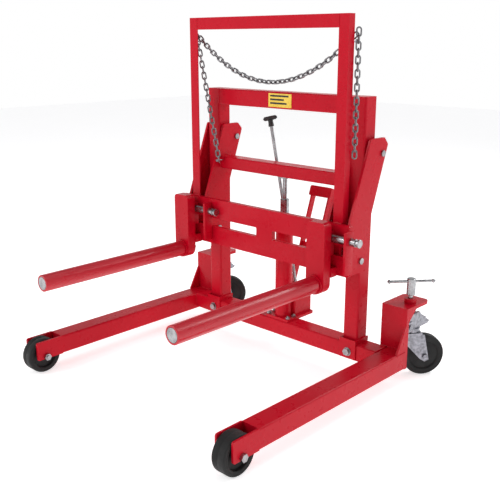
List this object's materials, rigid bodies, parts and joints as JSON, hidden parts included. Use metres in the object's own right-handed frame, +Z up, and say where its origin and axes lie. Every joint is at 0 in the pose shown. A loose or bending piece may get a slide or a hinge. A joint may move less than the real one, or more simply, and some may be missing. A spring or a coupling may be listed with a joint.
{
  "type": "wheel dolly",
  "caption": "Hydraulic wheel dolly: a U-shaped wheeled base, a mast and a lifting carriage that carries a lorry wheel on two roller forks.",
  "frame": {"origin": "bottom centre of the bounding box, on the floor", "axes": "+Z up, +X across the dolly, the forks and legs point to -Y"},
  "size_m": [0.9388, 0.893, 1.029],
  "materials": {
    "red_paint": "gloss",
    "roller_paint": "satin",
    "bright_steel": "satin",
    "zinc_plate": "satin",
    "chain_steel": "satin",
    "black_tyre": "matte",
    "black_grip": "matte",
    "label_film": "gloss"
  },
  "bodies": {
    "base": {"leg_left": "red_paint", "leg_right": "red_paint", "rear_crossbeam": "red_paint", "foot_bolts": "bright_steel", "foot_shoes": "red_paint", "mast_post_left": "red_paint", "mast_post_right": "red_paint", "mast_crossbar": "red_paint", "label_plate": "label_film", "jack_foot": "red_paint", "jack_foot_bolts": "bright_steel", "jack_cylinder": "red_paint", "jack_gland": "bright_steel", "pump_block": "red_paint", "front_axles": "bright_steel", "caster_column_left": "red_paint", "caster_column_right": "red_paint", "caster_hinges": "zinc_plate"},
    "carriage": {"arm_inner_left": "red_paint", "arm_inner_right": "red_paint", "arm_outer_left": "red_paint", "arm_outer_right": "red_paint", "slotted_bar": "red_paint", "carriage_crossbar": "red_paint", "frame_stile_left": "red_paint", "frame_stile_right": "red_paint", "frame_top_bar": "red_paint", "guide_pins": "bright_steel", "jack_ram": "bright_steel", "safety_chain": "chain_steel", "chain_hooks": "zinc_plate"},
    "upper_guides": {"guide_rollers_upper": "bright_steel"},
    "lower_guides": {"guide_rollers_lower": "bright_steel"},
    "lever": {"pump_lever": "red_paint"},
    "plunger": {"pump_plunger": "bright_steel"},
    "release": {"release_rod": "bright_steel", "release_grip": "black_grip"},
    "front_roll_left": {"front_wheel_left": "black_tyre"},
    "fork_left": {"fork_bracket_left": "red_paint", "slide_block_left": "red_paint", "slide_rod_left": "bright_steel", "fork_shaft_left": "bright_steel"},
    "roller_left": {"fork_roller_left": "roller_paint"},
    "tilt_arm_left": {"caster_arm_left": "zinc_plate"},
    "swivel_left": {"caster_fork_left": "zinc_plate"},
    "rear_roll_left": {"caster_wheel_left": "black_tyre"},
    "pad_left": {"screw_pad_left": "bright_steel"},
    "screw_left": {"t_screw_left": "bright_steel"},
    "front_roll_right": {"front_wheel_right": "black_tyre"},
    "fork_right": {"fork_bracket_right": "red_paint", "slide_block_right": "red_paint", "slide_rod_right": "bright_steel", "fork_shaft_right": "bright_steel"},
    "roller_right": {"fork_roller_right": "roller_paint"},
    "tilt_arm_right": {"caster_arm_right": "zinc_plate"},
    "swivel_right": {"caster_fork_right": "zinc_plate"},
    "rear_roll_right": {"caster_wheel_right": "black_tyre"},
    "pad_right": {"screw_pad_right": "bright_steel"},
    "screw_right": {"t_screw_right": "bright_steel"}
  },
  "joints": [
    {"name": "carriage_lift", "type": "slide", "parent": "base", "child": "carriage", "axis": [0, 0, 1], "range_m": [-0.06, 0.06]},
    {"name": "upper_guide_roll", "type": "hinge", "parent": "carriage", "child": "upper_guides", "pos_m": [-0.01089, 0.2818, 0.66], "axis": [1, 0, 0], "range_deg": [-260, 260]},
    {"name": "lower_guide_roll", "type": "hinge", "parent": "carriage", "child": "lower_guides", "pos_m": [-0.01089, 0.1972, 0.366], "axis": [1, 0, 0], "range_deg": [-180, 180]},
    {"name": "lever_pump", "type": "hinge", "parent": "base", "child": "lever", "pos_m": [-0.01089, 0.3295, 0.182], "axis": [-1, 0, 0], "range_deg": [0, 30]},
    {"name": "plunger_stroke", "type": "slide", "parent": "base", "child": "plunger", "axis": [0, 0, 1], "range_m": [0, 0.0125]},
    {"name": "release_turn", "type": "hinge", "parent": "base", "child": "release", "pos_m": [0.01111, 0.2895, 0.168], "axis": [-0.2193, 0, 0.9757], "range_deg": [0, 45]},
    {"name": "front_wheel_spin_left", "type": "hinge", "parent": "base", "child": "front_roll_left", "pos_m": [-0.41889, -0.3945, 0.052], "axis": [1, 0, 0], "continuous": true},
    {"name": "fork_slide_left", "type": "slide", "parent": "carriage", "child": "fork_left", "axis": [1, 0, 0], "range_m": [-0.02, 0.1]},
    {"name": "fork_roller_spin_left", "type": "hinge", "parent": "fork_left", "child": "roller_left", "pos_m": [-0.29389, -0.1825, 0.315], "axis": [0, 1, 0], "continuous": true},
    {"name": "caster_tilt_left", "type": "hinge", "parent": "base", "child": "tilt_arm_left", "pos_m": [-0.41989, 0.3015, 0.168], "axis": [-1, 0, 0], "range_deg": [0, 10]},
    {"name": "caster_swivel_left", "type": "hinge", "parent": "tilt_arm_left", "child": "swivel_left", "pos_m": [-0.41989, 0.3495, 0.133], "axis": [0, 0, 1], "range_deg": [-67, 143]},
    {"name": "caster_wheel_spin_left", "type": "hinge", "parent": "swivel_left", "child": "rear_roll_left", "pos_m": [-0.39649, 0.37944, 0.0625], "axis": [0.788, -0.6157, 0], "continuous": true},
    {"name": "screw_feed_left", "type": "slide", "parent": "base", "child": "pad_left", "axis": [0, 0, -1], "range_m": [0, 0.006]},
    {"name": "screw_turn_left", "type": "hinge", "parent": "pad_left", "child": "screw_left", "pos_m": [-0.41989, 0.3355, 0.293], "axis": [0, 0, -1], "range_deg": [0, 720]},
    {"name": "front_wheel_spin_right", "type": "hinge", "parent": "base", "child": "front_roll_right", "pos_m": [0.39711, -0.3945, 0.052], "axis": [1, 0, 0], "continuous": true},
    {"name": "fork_slide_right", "type": "slide", "parent": "carriage", "child": "fork_right", "axis": [1, 0, 0], "range_m": [-0.1, 0.035]},
    {"name": "fork_roller_spin_right", "type": "hinge", "parent": "fork_right", "child": "roller_right", "pos_m": [0.25411, -0.1825, 0.315], "axis": [0, 1, 0], "continuous": true},
    {"name": "caster_tilt_right", "type": "hinge", "parent": "base", "child": "tilt_arm_right", "pos_m": [0.39811, 0.3015, 0.168], "axis": [-1, 0, 0], "range_deg": [0, 10]},
    {"name": "caster_swivel_right", "type": "hinge", "parent": "tilt_arm_right", "child": "swivel_right", "pos_m": [0.39811, 0.3495, 0.133], "axis": [0, 0, 1], "range_deg": [-67, 143]},
    {"name": "caster_wheel_spin_right", "type": "hinge", "parent": "swivel_right", "child": "rear_roll_right", "pos_m": [0.42151, 0.37944, 0.0625], "axis": [0.788, -0.6157, 0], "continuous": true},
    {"name": "screw_feed_right", "type": "slide", "parent": "base", "child": "pad_right", "axis": [0, 0, -1], "range_m": [0, 0.006]},
    {"name": "screw_turn_right", "type": "hinge", "parent": "pad_right", "child": "screw_right", "pos_m": [0.39811, 0.3355, 0.293], "axis": [0, 0, -1], "range_deg": [0, 720]}
  ],
  "couplings": [
    {"joint": "upper_guide_roll", "follows": "carriage_lift", "rad_per_m": 70},
    {"joint": "lower_guide_roll", "follows": "carriage_lift", "rad_per_m": -49},
    {"joint": "plunger_stroke", "follows": "lever_pump", "m_per_rad": 0.022},
    {"joint": "screw_feed_left", "follows": "caster_tilt_left", "m_per_rad": 0.031},
    {"joint": "screw_turn_left", "follows": "caster_tilt_left", "ratio": 64.9},
    {"joint": "screw_feed_right", "follows": "caster_tilt_right", "m_per_rad": 0.031},
    {"joint": "screw_turn_right", "follows": "caster_tilt_right", "ratio": 64.9}
  ]
}
